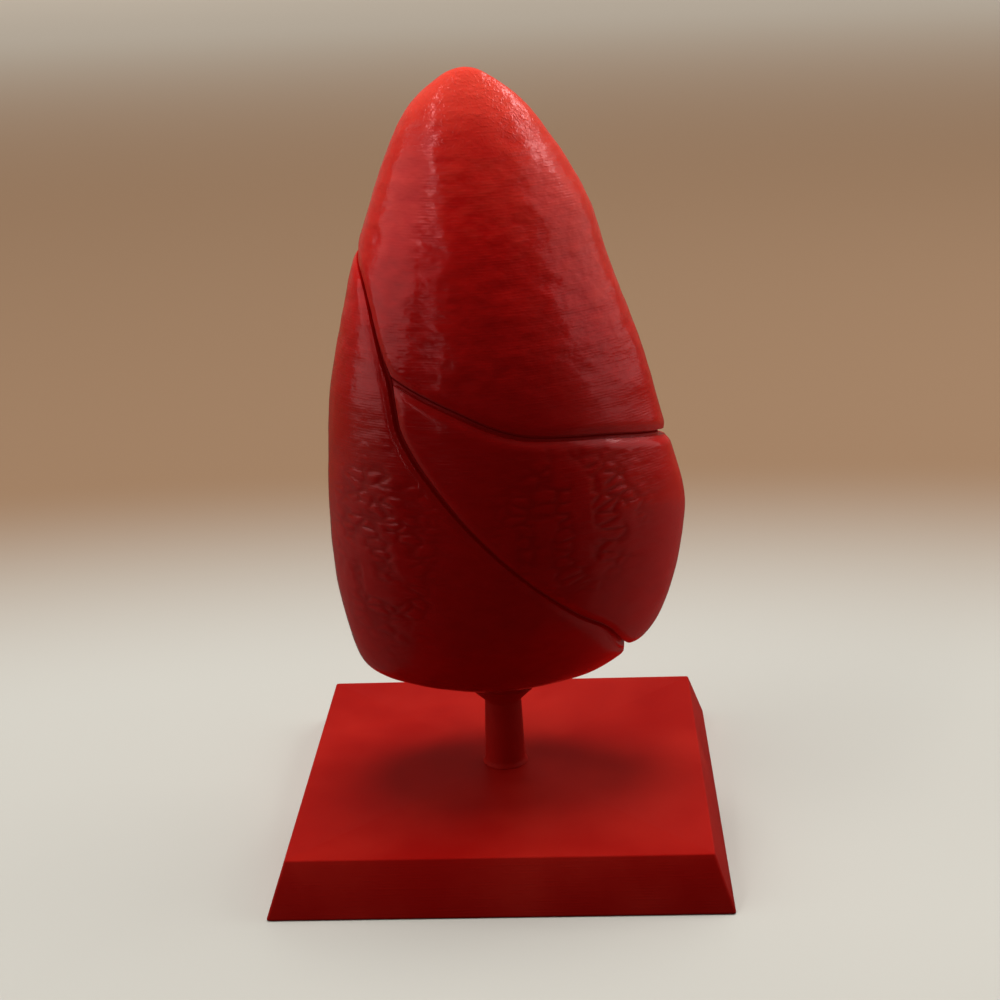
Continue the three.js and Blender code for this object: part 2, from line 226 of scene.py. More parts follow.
# The lamp for the sky: its direction, the width of its disc in degrees, and its brightness
SKY_TURN, SKY_RISE, SKY_WIDTH, SKY_LEVEL = 180, 78, 30, 0.78

# Camera: place, turn about Z, tilt down and roll in degrees, and focal length in mm
CAMERA_PLACE = (0.01808, -0.34052, 0.18203)
CAMERA_TURN, CAMERA_TILT, CAMERA_ROLL = 2.853, 18.326, -2.4
CAMERA_LENS = 63.91


def length_setting(name, description, millimetres):
    """A length that a user may change."""
    return FloatProperty(
        name=name, description=description, default=millimetres * MM, unit="LENGTH")


def colour_setting(name, description, shade):
    """A colour that a user may change."""
    return FloatVectorProperty(
        name=name, description=description, default=shade, subtype="COLOR", min=0, max=1)


class LungSizes(bpy.types.PropertyGroup):
    """Sizes of the lung that the solids share, and of its surface relief"""

    width: length_setting("Width", "From the back edge to the front edge", 71.5)
    height: length_setting("Height", "From the seat on the post to the apex", 123)
    depth: length_setting("Depth", "Scale of the outer and inner faces", 45)
    heart_hollow: length_setting("Heart hollow", "Depth of the hollow for the heart", 6)
    hilum_hollow: length_setting("Hilum hollow", "Depth of the hollow at the hilum", 3.5)
    fissure_gap: length_setting("Fissure gap", "Gap between two lobes", 0.25)
    channel_depth: length_setting("Channel depth", "Depth of the open channel over a fissure", 1.7)
    lip_reach: length_setting("Lip reach", "How far from a channel its lip starts to round", 1.9)
    lip_depth: length_setting("Lip depth", "How deep a lip falls into its channel", 0.58)
    swell: length_setting("Swell", "Height of the soft unevenness of the skin", 0.22)
    lump: length_setting("Lump", "Height of the small flat lumps of the upper lobe", 0.08)
    plate: length_setting("Plate", "Size of one plate of the creased skin", 2.7)
    crease_depth: length_setting("Crease depth", "Depth of the creases between plates", 0.2)


class PrintFinish(bpy.types.PropertyGroup):
    """Colours and layers of the printed plastic, with the painted glow of light through it, and
    colours of the metal
    """

    deep: colour_setting("Deep red", "Colour of the print where it is thick", (0.2, 0.0005, 0.0008))
    stand: colour_setting(
        "Stand red", "Colour of the plinth, post and stubs", (0.28, 0.0028, 0.0019))
    # Glow and lit red are painted light: colours that stand in for light passing through the thin
    # print
    glow: colour_setting(
        "Glow", "Colour of the print where light passes a thin edge", (1.0, 0.075, 0.045))
    lit: colour_setting(
        "Lit red", "Colour of the print between deep red and glow", (0.57, 0.007, 0.006))
    layer_pitch: length_setting("Layer pitch", "Distance between two printed layers", 0.5)
    steel: colour_setting("Steel", "Colour of the screw and dowels", (0.58, 0.59, 0.61))
    nickel: colour_setting("Nickel", "Colour of the magnets' plating", (0.72, 0.7, 0.66))


class StageSettings(bpy.types.PropertyGroup):
    """Colours of the floor and backdrop"""

    floor: colour_setting("Floor", "Colour of the floor round the model", (0.54, 0.52, 0.465))
    backdrop: colour_setting("Backdrop", "Colour of the floor further out", (0.29, 0.175, 0.1))
    distance: colour_setting(
        "Distance", "Colour of the far floor and of what lies beyond it", (0.42, 0.36, 0.29))


def cubic(before, here, after, beyond, step):
    """Here plus step times the slope, with the square and cube terms that reach after at step 1.
    The slope at a knot is half the step between that knot's two neighbours."""
    slope = after - before
    square = 2 * before - 5 * here + 4 * after - beyond
    cube = 3 * here - before - 3 * after + beyond
    return here + 0.5 * (slope * step + square * step**2 + cube * step**3)


def loop_spline(knots, share):
    """A smooth closed curve through knots, with a cubic for each stretch between two of them."""
    count = len(knots)
    place = share * count
    start = np.floor(place).astype(int)
    step = (place - start)[..., None]
    return cubic(*(knots[(start + shift) % count] for shift in (-1, 0, 1, 2)), step)


def open_spline(knots, share):
    """The same through knots in a row, with the end slopes pointing at the next knot."""
    padded = np.vstack([2 * knots[0] - knots[1], knots, 2 * knots[-1] - knots[-2]])
    place = share * (len(knots) - 1)
    start = np.minimum(np.floor(place).astype(int), len(knots) - 2)
    step = (place - start)[..., None]
    return cubic(*(padded[start + shift] for shift in (0, 1, 2, 3)), step)


def both_sides(first, second, rise):
    """Points at a rise from 0 to 1 on the two sides of a closed curve through knots. It goes up
    through the first knots and down through the second ones, which share their ends."""
    knots = np.vstack([first, second[-2:0:-1]])
    return loop_spline(knots, rise / 2), loop_spline(knots, 1 - rise / 2)


def lung_place(shares, sizes):
    """Shares of the lung's width and height turned into X and Z."""
    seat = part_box("stand_post")[1].z + CLEARANCE
    return np.array([0, seat]) + np.asarray(shares) * np.array([sizes.width, sizes.height])


def lung_edges(rise, sizes):
    """X and Z of the back edge and of the front edge at a rise."""
    back, front = lung_place(LUNG_PROFILE[:, 0:2], sizes), lung_place(LUNG_PROFILE[:, 2:4], sizes)
    return both_sides(back, front, rise)


def lung_skin(rise, angle, sizes):
    """Points of the lung at a rise from 0 at the underside to 1 at the apex and at an angle round
    the ring. A ring's chord joins the back edge to the front edge. Across it the ring is an
    ellipse between the outer and inner faces, thinner at the front edge and curled inwards there,
    less a bell-shaped hollow for the heart and one for the hilum on the inner side."""
    back, front = lung_edges(rise, sizes)
    faces = LUNG_PROFILE[:, 4:] * sizes.depth
    outer, inner = (side[..., 0] for side in both_sides(faces[:, :1], faces[:, 1:], rise))
    forward = (1 + np.cos(angle)) / 2
    across, up = np.moveaxis(back + (front - back) * forward[..., None], -1, 0)
    half = (inner - outer) / 2
    bulge = np.sin(angle) * (1 - FRONT_EDGE_THINNING * forward**3)
    inwards = (inner + outer) / 2 + half * (bulge + FRONT_EDGE_CURL * forward**2)
    inner_side = np.clip(np.sin(angle), 0, 1) ** 2
    for depth, (place, reach) in (
        (sizes.heart_hollow, HEART_HOLLOW),
        (sizes.hilum_hollow, HILUM_HOLLOW),
    ):
        centre_x, centre_z = lung_place(place, sizes)
        bell = ((across - centre_x) / (reach[0] * sizes.width)) ** 2
        bell = bell + ((up - centre_z) / (reach[1] * sizes.height)) ** 2
        inwards = inwards - inner_side * depth * np.exp(-bell)
    return np.stack([across, inwards, up], -1)


def fissure(shares, widths, sizes):
    """Closely spaced points along a fissure on the middle plane, and half its channel's width at
    each of them."""
    line = open_spline(lung_place(shares, sizes), np.linspace(0, 1, FISSURE_STEPS))
    knot = np.linspace(0, len(widths) - 1, FISSURE_STEPS)
    return line, np.interp(knot, np.arange(len(widths)), widths) / 2 * MM


def distance_to_line(points, line, halves):
    """Least distance from each point to a line of short straight stretches, less the half width
    there: to the nearest of the line's points, and then square to the stretches on both sides."""
    every, blocks = 4, 40
    flat = points.reshape(-1, 2)
    nearest = np.empty(len(flat), int)
    coarse = line[::every]
    for block in np.array_split(np.arange(len(flat)), blocks):
        offset = flat[block, None, :] - coarse[None, :, :]
        nearest[block] = np.argmin((offset**2).sum(-1), 1)
    result = np.full(len(flat), np.inf)
    for shift in (-1, 0):
        start = np.clip(nearest + shift, 0, len(coarse) - 2)
        begin = coarse[start]
        step = coarse[start + 1] - begin
        along = ((flat - begin) * step).sum(-1) / (step**2).sum(-1)
        foot = begin + np.clip(along, 0, 1)[:, None] * step
        result = np.minimum(result, np.linalg.norm(flat - foot, axis=1))
    return (result - halves[::every][nearest]).reshape(points.shape[:-1])


def middle_plane(points):
    """X and Z of points moved to the middle plane along the fissures' slant."""
    return points[..., [0, 2]] - points[..., 1:2] * FISSURE_SLANT


def eased(value, low, high):
    """A value's share of the way from low to high, eased at both ends."""
    step = np.clip((value - low) / (high - low), 0, 1)
    return step * step * (3 - 2 * step)


def scattered(cells, seed):
    """A value from 0 to 1 for each cell of whole numbers, without order but always the same."""
    key = (cells * (73856093, 19349663, 83492791)).sum(-1) + seed
    key = (key ^ (key >> 13)) * 1274126177
    return ((key ^ (key >> 16)) & 0xFFFF) / 0xFFFF


def soft_noise(points, cell, seed):
    """Smooth noise from -1 to 1: scattered values at the corners of cells, eased from corner to
    corner along each axis."""
    place = points / cell
    base = np.floor(place).astype(np.int64)
    ease = eased(place - base, 0, 1)
    total = np.zeros(points.shape[:-1])
    for corner in np.ndindex(2, 2, 2):
        weight = np.where(corner, ease, 1 - ease).prod(-1)
        total += weight * (2 * scattered(base + corner, seed) - 1)
    return total


def summed_noise(points, layers):
    """Layers of soft noise, each times its share, added up."""
    return sum(
        share * soft_noise(points, np.array(cell) * MM, seed) for share, cell, seed in layers)


def plate_borders(place):
    """Distance from each point to the border of its plate, in plates. A plate is what lies nearest
    to one of the centres scattered through the cells, so its border is the plane half-way to
    another."""
    margin = 0.12
    cells = np.floor(place).astype(np.int64)[:, None] + np.array(list(np.ndindex(3, 3, 3))) - 1
    shift = np.stack([scattered(cells, seed) for seed in (21, 22, 23)], -1)
    centres = cells + margin + (1 - 2 * margin) * shift
    away = centres - place[:, None]
    own = away[np.arange(len(away)), (away**2).sum(-1).argmin(1)][:, None]
    step = away - own
    length = np.linalg.norm(step, axis=-1)
    half_way = ((away + own) / 2 * step).sum(-1) / np.maximum(length, 1e-9)
    return np.where(length > 1e-6, half_way, np.inf).min(1)


def creases(points, sizes):
    """Creases between wide flat plates like those of dried mud, from 0 on a plate to 1 in a
    crease. They are bent, come and go along their way, fill the oval fields and are fainter on the
    inner side."""
    shape = points.shape[:-1]
    points = points.reshape(-1, 3)
    field = np.zeros(len(points))
    for middle, reach in CREASED_FIELDS:
        away = (points[:, [0, 2]] - np.array(middle) * MM) / (np.array(reach) * MM)
        field = np.maximum(field, 1 - eased(np.linalg.norm(away, axis=1), *FIELD_FADE))
    inner_side = eased(points[:, 1], -4 * MM, 4 * MM)
    field *= 1 - 0.7 * inner_side
    inside = field > 0
    near = points[inside]
    bend = 0.7 * MM * np.stack([soft_noise(near, 4 * MM, seed) for seed in (11, 12, 13)], -1)
    place = (near + bend) / (sizes.plate * PLATE_SHAPE)
    presence = eased(soft_noise(near, 3.5 * MM, 14), -0.45, 0.1)
    field[inside] *= (1 - eased(plate_borders(place), 0, CREASE_HALF)) * presence
    return field.reshape(shape)


def skin_normals(rings):
    """Outward directions on a grid of rings: the step round the ring crossed with the step up."""
    round_step = np.roll(rings, -1, 1) - np.roll(rings, 1, 1)
    normal = np.cross(round_step, np.gradient(rings, axis=0))
    return normal / np.linalg.norm(normal, axis=-1, keepdims=True)


def add_object(name, data):
    """A mesh, lamp or camera put into the scene."""
    thing = bpy.data.objects.new(name, data)
    bpy.context.scene.collection.objects.link(thing)
    return thing


def add_piece(name, vertices, faces):
    """A mesh object with its place in its mesh."""
    mesh = bpy.data.meshes.new(name)
    mesh.from_pydata(vertices, [], faces)
    mesh.update()
    return add_object(name, mesh)


def ring_quads(count, sides):
    """Four-sided faces between rings of points."""
    start, side = np.meshgrid(np.arange(count - 1) * sides, np.arange(sides), indexing="ij")
    after = (side + 1) % sides
    quads = np.stack([start + side, start + after, start + sides + after, start + sides + side], -1)
    return quads.reshape(-1, 4)


def ring_piece(name, rings, first_pole, last_pole):
    """A closed skin over rings of points, with a fan to a pole at each end."""
    count, sides, _ = rings.shape
    vertices = np.vstack([rings.reshape(-1, 3), first_pole, last_pole])
    here = np.arange(sides)
    following = (here + 1) % sides
    last = (count - 1) * sides
    first_fan = np.stack([np.full(sides, count * sides), following, here], -1)
    last_fan = np.stack([np.full(sides, count * sides + 1), last + here, last + following], -1)
    faces = ring_quads(count, sides).tolist() + first_fan.tolist() + last_fan.tolist()
    return add_piece(name, vertices, faces)


def round_angles(sides):
    """Even angles round a ring."""
    return np.linspace(0, 2 * np.pi, sides, endpoint=False)


def across_directions(axis):
    """Two directions square to an axis and to each other, right-handed with it."""
    helper = np.eye(3)[np.argmin(np.abs(axis))]
    first = np.cross(helper, axis)
    first = first / np.linalg.norm(first)
    return first, np.cross(axis, first)


def turned_piece(name, profile, centre=(0, 0, 0), axis=(0, 0, 1), sides=TURNED_SIDES):
    """A profile of radius and height pairs turned about an axis. Its first and last pair lie on
    the axis."""
    axis = np.asarray(axis, float)
    first, second = across_directions(axis)
    angle = round_angles(sides)[None, :, None]
    profile = np.asarray(profile, float)
    radius = profile[1:-1, 0, None, None]
    height = profile[1:-1, 1, None, None]
    rings = centre + height * axis + radius * (np.cos(angle) * first + np.sin(angle) * second)
    return ring_piece(name, rings, centre + profile[0, 1] * axis, centre + profile[-1, 1] * axis)


def rod(radius, low, high):
    """The profile of a plain round bar."""
    return [(0, low), (radius, low), (radius, high), (0, high)]


def rounded(profile, radii, steps=6):
    """A profile with its corners replaced by arcs. The arc at a corner touches both sides, so it
    starts and ends at the radius over the tangent of half the corner's angle from it."""
    profile = np.asarray(profile, float)
    points = [profile[0]]
    for before, corner, after, radius in zip(profile[:-2], profile[1:-1], profile[2:], radii):
        if radius == 0:
            points.append(corner)
            continue
        to_before = (before - corner) / np.linalg.norm(before - corner)
        to_after = (after - corner) / np.linalg.norm(after - corner)
        half = math.acos(np.clip(to_before @ to_after, -1, 1)) / 2
        middle = (to_before + to_after) / np.linalg.norm(to_before + to_after)
        centre = corner + middle * radius / math.sin(half)
        begin = corner + to_before * radius / math.tan(half) - centre
        end = corner + to_after * radius / math.tan(half) - centre
        for share in np.linspace(0, 1, steps):
            blend = begin * (1 - share) + end * share
            points.append(centre + radius * blend / np.linalg.norm(blend))
    points.append(profile[-1])
    return np.array(points)


def finish_mesh(piece, sharp_angle=40):
    """Smooth shading, with edges steeper than an angle in degrees left sharp."""
    piece.data.shade_smooth()
    piece.data.set_sharp_from_angle(angle=math.radians(sharp_angle))


def rounded_piece(name, profile, radii, centre=(0, 0, 0), axis=(0, 0, 1)):
    """A finished piece: a profile with its corners rounded, turned about an axis."""
    piece = turned_piece(name, rounded(profile, radii), centre, axis)
    finish_mesh(piece)
    return piece


def carve(piece, tools, operation="DIFFERENCE"):
    """Cuts the tools from a piece, keeps what they share with it or joins them to it, and removes
    them."""
    for tool in tools:
        change = piece.modifiers.new("carve", "BOOLEAN")
        change.operation = operation
        change.solver = "MANIFOLD"
        change.object = tool
    view = bpy.context.evaluated_depsgraph_get()
    carved = bpy.data.meshes.new_from_object(piece.evaluated_get(view))
    piece.modifiers.clear()
    piece.data = carved
    for tool in tools:
        bpy.data.objects.remove(tool)


def settle(piece, body, material, slot, *nodes):
    """Puts a finished piece on its body in place of CAD nodes and gives it its material."""
    piece.data.materials.clear()
    piece.data.materials.append(material)
    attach(piece, body)
    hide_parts(*nodes)


def mesh_points(mesh):
    """The corners of a mesh."""
    points = np.empty(len(mesh.vertices) * 3)
    mesh.vertices.foreach_get("co", points)
    return points.reshape(-1, 3)


def bar_of(name):
    """Centre, axis, radius and half length of a CAD node that is a round bar. Its axis is the
    direction in which its corners spread unlike in the two others."""
    points = mesh_points(frame["nodes"][name].data)
    centre = (points.max(0) + points.min(0)) / 2
    spread, directions = np.linalg.svd(points - centre, full_matrices=False)[1:]
    odd = 0 if spread[0] - spread[1] > spread[1] - spread[2] else 2
    axis = directions[odd]
    along = (points - centre) @ axis
    radius = np.linalg.norm(points - centre - along[:, None] * axis, axis=1).max()
    return centre, axis, radius, np.abs(along).max()


def bore_tool(name):
    """A round tool that cuts the bore of a CAD dowel, or the pocket of a CAD magnet with its mouth
    half-way to the magnet that it pulls."""
    centre, axis, radius, half = bar_of(name)
    mouth = half + CLEARANCE
    pair = name.partition("magnet_")[2]
    for other in frame["nodes"]:
        if pair and other != name and other.endswith("magnet_" + pair):
            way = bar_of(other)[0] - centre
            axis = axis * np.sign(way @ axis)
            mouth = way @ axis / 2
    profile = rod(radius + CLEARANCE, -half - CLEARANCE, mouth)
    return turned_piece("tool", profile, centre, axis, BORE_SIDES)


def slanted_prism(outline, slant, reach):
    """A prism over an outline of X and Z pairs on the middle plane, as far to both sides of it as
    the reach. Its ends are shifted along the slant."""
    ends = []
    for inwards in (-reach, reach):
        shifted = outline + inwards * slant
        ends.append(np.stack([shifted[:, 0], np.full(len(shifted), inwards), shifted[:, 1]], -1))
    count = len(outline)
    here = np.arange(count)
    following = (here + 1) % count
    walls = np.stack([here, following, following + count, here + count], -1)
    faces = walls.tolist() + [here[::-1].tolist(), (here + count).tolist()]
    after = outline[following]
    if (outline[:, 0] * after[:, 1] - outline[:, 1] * after[:, 0]).sum() > 0:
        faces = [face[::-1] for face in faces]
    return add_piece("tool", np.vstack(ends), faces)


def beside_fissure(line, away, side, sizes):
    """Everything on one side of a fissure, some way off it: the fissure's line moved square to
    itself, closed round the lung and run through it along the slant."""
    step = np.gradient(line, axis=0)
    step = step / np.linalg.norm(step, axis=1, keepdims=True)
    moved = line + side * np.reshape(away, (-1, 1)) * np.stack([-step[:, 1], step[:, 0]], -1)
    reach = 2 * (sizes.width + sizes.height)
    start, end = moved[0, 1], moved[-1, 1]
    corners = [(reach, end), (reach, side * reach), (-reach, side * reach), (-reach, start)]
    return slanted_prism(np.vstack([moved, corners]), FISSURE_SLANT, sizes.depth)


def lung_grid(ring_count, side_count, sizes):
    """The lung's skin as rings of points, and its poles."""
    rise = np.linspace(0, 1, ring_count + 1)[1:-1]
    rings = lung_skin(*np.meshgrid(rise, round_angles(side_count), indexing="ij"), sizes)
    return rings, lung_skin(np.array([0.0, 1.0]), np.zeros(2), sizes)


def relieved_rings(grooves, sizes):
    """Rings of the skin, swollen a little here and there, lumpy on the upper lobe and creased
    lower down, and sunk beside each channel by the lip's depth times the square of what is left of
    the lip's reach."""
    rings, poles = lung_grid(*SKIN_GRID, sizes)
    flat = middle_plane(rings)
    level = 1.0
    for line, halves in grooves:
        free = np.clip(distance_to_line(flat, line, halves) / sizes.lip_reach, 0, 1)
        level = level * (1 - (1 - free) ** 2)
    grown = FAINT_LUMPS + (1 - FAINT_LUMPS) * eased(rings[..., 2], *LUMPS_GROW)
    lumps = summed_noise(rings, LUMP_NOISE) * grown
    lift = sizes.swell * summed_noise(rings, SWELL_NOISE) + sizes.lump * lumps
    lift = lift - sizes.crease_depth * creases(rings, sizes)
    lift = lift * level - sizes.lip_depth * (1 - level)
    return rings + skin_normals(rings) * lift[..., None], poles


def core_rings(sizes):
    """Rings of the lung's core, as far under the skin as the channels are deep."""
    rings, poles = lung_grid(*CORE_GRID, sizes)
    middle = poles.mean(0)
    poles = poles + sizes.channel_depth * np.sign(middle - poles) * (0, 0, 1)
    return rings - sizes.channel_depth * skin_normals(rings), poles


def painted_light_share(points, sizes):
    """Share of painted light at each point, from 0 to 1: a painted glow of light through thin
    edges and the apex, and painted brighter light higher up. It grows a little from the seat on and
    in two eased steps up to the apex, with the square of the way from the middle to the front
    edge, and near the back edge. The edges are read above the underside."""
    steps = 600
    back, front = lung_edges(np.linspace(0, 1, steps)[steps // 10:], sizes)
    back_x = np.interp(points[:, 2], back[:, 1], back[:, 0])
    front_x = np.interp(points[:, 2], front[:, 1], front[:, 0])
    across = (points[:, 0] - back_x) / np.maximum(front_x - back_x, MM)
    up = (points[:, 2] - lung_place((0, 0), sizes)[1]) / sizes.height
    # Painted light: the middle and apex terms paint brighter light from above and a glow at the
    # apex, and the edge terms paint a glow of light through thin edges
    low = 0.04 * np.clip(up / 0.3, 0, 1)
    middle = 0.46 * eased(up, 0.42, 0.9)
    apex = 0.5 * eased(up, 0.88, 1)
    front_edge = 0.36 * np.clip(2 * across - 1, 0, 1) ** 2
    back_edge = 0.15 * np.clip(1 - across / 0.2, 0, 1) ** 1.5
    return np.clip((low + middle + apex) + (front_edge + back_edge), 0, 1)


def channel_share(points, grooves):
    """How far inside a fissure's channel each point is, from 0 at its border to 1 well inside."""
    well_inside = 0.25 * MM
    flat = middle_plane(points)
    depth = np.zeros(len(points))
    for line, halves in grooves:
        depth = np.maximum(depth, -distance_to_line(flat, line, halves) / well_inside)
    return np.clip(depth, 0, 1)


def fill(tree, sockets, values):
    """Puts a value or a link on each named socket."""
    for name, value in values.items():
        if isinstance(value, bpy.types.NodeSocket):
            tree.links.new(value, sockets[name])
        else:
            sockets[name].default_value = value


def add_node(tree, kind, inputs=None, **settings):
    """A shader node with its settings, and with a value or a link on each named input."""
    node = tree.nodes.new(kind)
    for name, value in settings.items():
        setattr(node, name, value)
    fill(tree, node.inputs, inputs or {})
    return node


def math_node(tree, operation, first, second=0.0):
    """The result of one arithmetic step."""
    node = add_node(tree, "ShaderNodeMath", {0: first, 1: second}, operation=operation)
    return node.outputs[0]


def product(tree, first, second):
    """One value times another."""
    return math_node(tree, "MULTIPLY", first, second)


def ease_node(tree, value, low, high, to_low=0.0, to_high=1.0):
    """A value eased from one range to another."""
    node = add_node(
        tree, "ShaderNodeMapRange", {0: value, 1: low, 2: high, 3: to_low, 4: to_high},
        interpolation_type="SMOOTHSTEP")
    return node.outputs[0]


def mix_colours(tree, share, first, second):
    """A colour between two others."""
    node = add_node(tree, "ShaderNodeMix", {0: share, 6: first, 7: second}, data_type="RGBA")
    return node.outputs[2]


def object_place(tree):
    """The place of a point on its piece, in metres."""
    return add_node(tree, "ShaderNodeTexCoord").outputs["Object"]


def axes_of(tree, vector):
    """The X, Y and Z of a vector."""
    return add_node(tree, "ShaderNodeSeparateXYZ", {0: vector}).outputs


def noise(tree, place, scale, detail):
    """Noise of a scale in waves to the metre, or in such a number along each axis."""
    if isinstance(scale, tuple):
        place = add_node(tree, "ShaderNodeMapping", {"Vector": place, "Scale": scale}).outputs[0]
        scale = 1.0
    inputs = {"Vector": place, "Scale": scale, "Detail": detail}
    return add_node(tree, "ShaderNodeTexNoise", inputs).outputs[0]


def stored(tree, name):
    """A value that is kept at the mesh's corners."""
    return add_node(tree, "ShaderNodeAttribute", attribute_name=name).outputs["Fac"]


def placed_group(tree, name, inputs=None):
    """What a node group puts out in a material."""
    group = bpy.data.node_groups[name]
    return add_node(tree, "ShaderNodeGroup", inputs, node_tree=group).outputs


def bump_node(tree, height, distance, below=None):
    """A bump of a height in metres over another one."""
    inputs = {"Height": height, "Distance": distance, "Strength": 1.0}
    if below is not None:
        inputs["Normal"] = below
    return add_node(tree, "ShaderNodeBump", inputs).outputs[0]


def new_group(name, inputs, outputs):
    """A shader node group with named number inputs and outputs, and nothing in it yet."""
    group = bpy.data.node_groups.new(name, "ShaderNodeTree")
    for label, default in inputs.items():
        socket = group.interface.new_socket(label, in_out="INPUT", socket_type="NodeSocketFloat")
        socket.default_value = default
    for label in outputs:
        group.interface.new_socket(label, in_out="OUTPUT", socket_type="NodeSocketFloat")
    return group


def layer_lines_group():
    """Printed layers: a wave up Z at the layer pitch, broken into streaks by flat noise. It puts
    out the relief and a mask of the streaks that stand proud."""
    group = new_group("Layer lines", {"Pitch": 0.5 * MM}, ("Height", "Streaks"))
    place = object_place(group)
    pitch = add_node(group, "NodeGroupInput").outputs["Pitch"]
    turns = math_node(group, "DIVIDE", axes_of(group, place)[2], pitch)
    wave = math_node(group, "SINE", product(group, turns, 2 * math.pi))
    streaks = ease_node(group, noise(group, place, (160, 160, 2400), 2.0), 0.35, 0.65)
    lines = product(group, wave, product(group, streaks, 0.4))
    height = math_node(group, "ADD", lines, product(group, streaks, 0.45))
    add_node(group, "NodeGroupOutput", {"Height": height, "Streaks": streaks})


def skin_relief_group():
    """Fine skin relief: soft lumps that lie flat and long, mostly on the upper lobe, and specks
    near the apex."""
    group = new_group("Skin relief", {}, ("Lumps", "Specks"))
    place = object_place(group)
    up = axes_of(group, place)[2]
    lumps = math_node(group, "SUBTRACT", noise(group, place, (290, 290, 500), 2.3), 0.5)
    lumps = product(group, lumps, ease_node(group, up, *LUMPS_GROW, 0.3, 1.0))
    specks = ease_node(group, noise(group, place, 1500.0, 1.0), 0.45, 0.75)
    near_apex = ease_node(group, up, 0.134, 0.148)
    specks = product(group, specks, near_apex)
    add_node(group, "NodeGroupOutput", {"Lumps": lumps, "Specks": specks})


def new_material(name):
    """A new material, its tree and its Principled shader."""
    material = bpy.data.materials.new(name)
    material.use_nodes = True
    tree = material.node_tree
    return material, tree, tree.nodes["Principled BSDF"]


def lobe_material(finish):
    """Translucent red print of the lobes: deep red, with a painted glow of lit orange red at thin
    borders and higher up, painted shade in channels and creases and a faint painted glow all over,
    with specks, lumps and layer lines."""
    _, tree, shader = new_material("lobe print")
    lines = placed_group(tree, "Layer lines", {"Pitch": finish.layer_pitch})
    skin = placed_group(tree, "Skin relief")
    # Painted light: the stored share of painted glow and top light, with lumps adding random
    # mottling, picks a red from deep red up to glow
    thin = math_node(tree, "ADD", stored(tree, "painted_light_share"), product(tree, skin["Lumps"], 0.3))
    ramp = add_node(tree, "ShaderNodeValToRGB", {0: thin})
    reds = ramp.color_ramp.elements
    reds[0].color = (*finish.deep, 1)
    reds[1].color = (*finish.glow, 1)
    reds.new(0.4).color = (*finish.lit, 1)
    # Painted shade: channels and creases are darkened towards half the deep red
    dark = (*(0.5 * value for value in finish.deep), 1)
    groove = stored(tree, "groove")
    colour = mix_colours(tree, product(tree, groove, 0.45), ramp.outputs[0], dark)
    colour = mix_colours(tree, product(tree, stored(tree, "crease"), 0.4), colour, dark)
    specks = bump_node(tree, skin["Specks"], SPECK_HEIGHT)
    lumps = bump_node(tree, skin["Lumps"], FINE_LUMP_HEIGHT, specks)
    rough = ease_node(tree, lines["Streaks"], 0.0, 1.0, 0.15, 0.27)
    fill(tree, shader.inputs, {
        **PRINT_LOOK_AND_PAINTED_GLOW,
        "Base Color": colour,
        "Normal": bump_node(tree, lines["Height"], LAYER_HEIGHT, lumps),
        "Roughness": math_node(tree, "MAXIMUM", rough, product(tree, groove, 0.75)),
        "Specular IOR Level": 0.45,
        "Specular Tint": (1.0, 0.45, 0.45, 1.0),
        # Painted glow: a faint red emission that stands in for light inside the plastic
        "Emission Strength": 0.02,
        "Subsurface Weight": 0.3,
    })


def stand_material(finish):
    """Red print of the plinth, post and stubs, with layer lines and a faint cloudiness."""
    _, tree, shader = new_material("stand print")
    lines = placed_group(tree, "Layer lines", {"Pitch": finish.layer_pitch})
    cloud = noise(tree, object_place(tree), 45.0, 4.0)
    share = ease_node(tree, cloud, 0.3, 0.8, 0.0, 0.12)
    fill(tree, shader.inputs, {
        **PRINT_LOOK_AND_PAINTED_GLOW,
        "Base Color": mix_colours(tree, share, (*finish.stand, 1), (*finish.glow, 1)),
        "Normal": bump_node(tree, lines["Height"], LAYER_HEIGHT),
        "Roughness": ease_node(tree, cloud, 0.2, 0.8, 0.5, 0.62),
        "Specular IOR Level": 0.12,
        "Specular Tint": (1.0, 0.35, 0.3, 1.0),
        # Painted glow: a fainter red emission that stands in for light inside the plastic
        "Emission Strength": 0.006,
        "Subsurface Weight": 0.2,
    })


def metal_material(name, colour, roughness, grain):
    """Bare or plated metal with fine turning marks and faint handling marks."""
    _, tree, shader = new_material(name)
    place = object_place(tree)
    marks = noise(tree, place, grain, 4.0)
    share = ease_node(tree, noise(tree, place, 300.0, 2.0), 0.35, 0.7)
    darker = tuple(0.8 * value for value in colour)
    fill(tree, shader.inputs, {
        "Base Color": mix_colours(tree, share, (*colour, 1), (*darker, 1)),
        "Normal": bump_node(tree, marks, TURNING_MARK_HEIGHT),
        "Roughness": ease_node(tree, marks, 0.3, 0.7, roughness * 0.8, roughness * 1.3),
        "Metallic": 1.0,
    })


class LUNG_OT_prepare_finishes(bpy.types.Operator):
    """Makes the node groups and materials that the pieces share"""

    bl_idname = "lung.prepare_finishes"
    bl_label = "Prepare finishes"

    def execute(self, context):
        finish = context.scene.print_finish
        layer_lines_group()
        skin_relief_group()
        lobe_material(finish)
        stand_material(finish)
        metal_material("steel", finish.steel, 0.3, 4000.0)
        metal_material("nickel", finish.nickel, 0.14, 900.0)
        return {"FINISHED"}


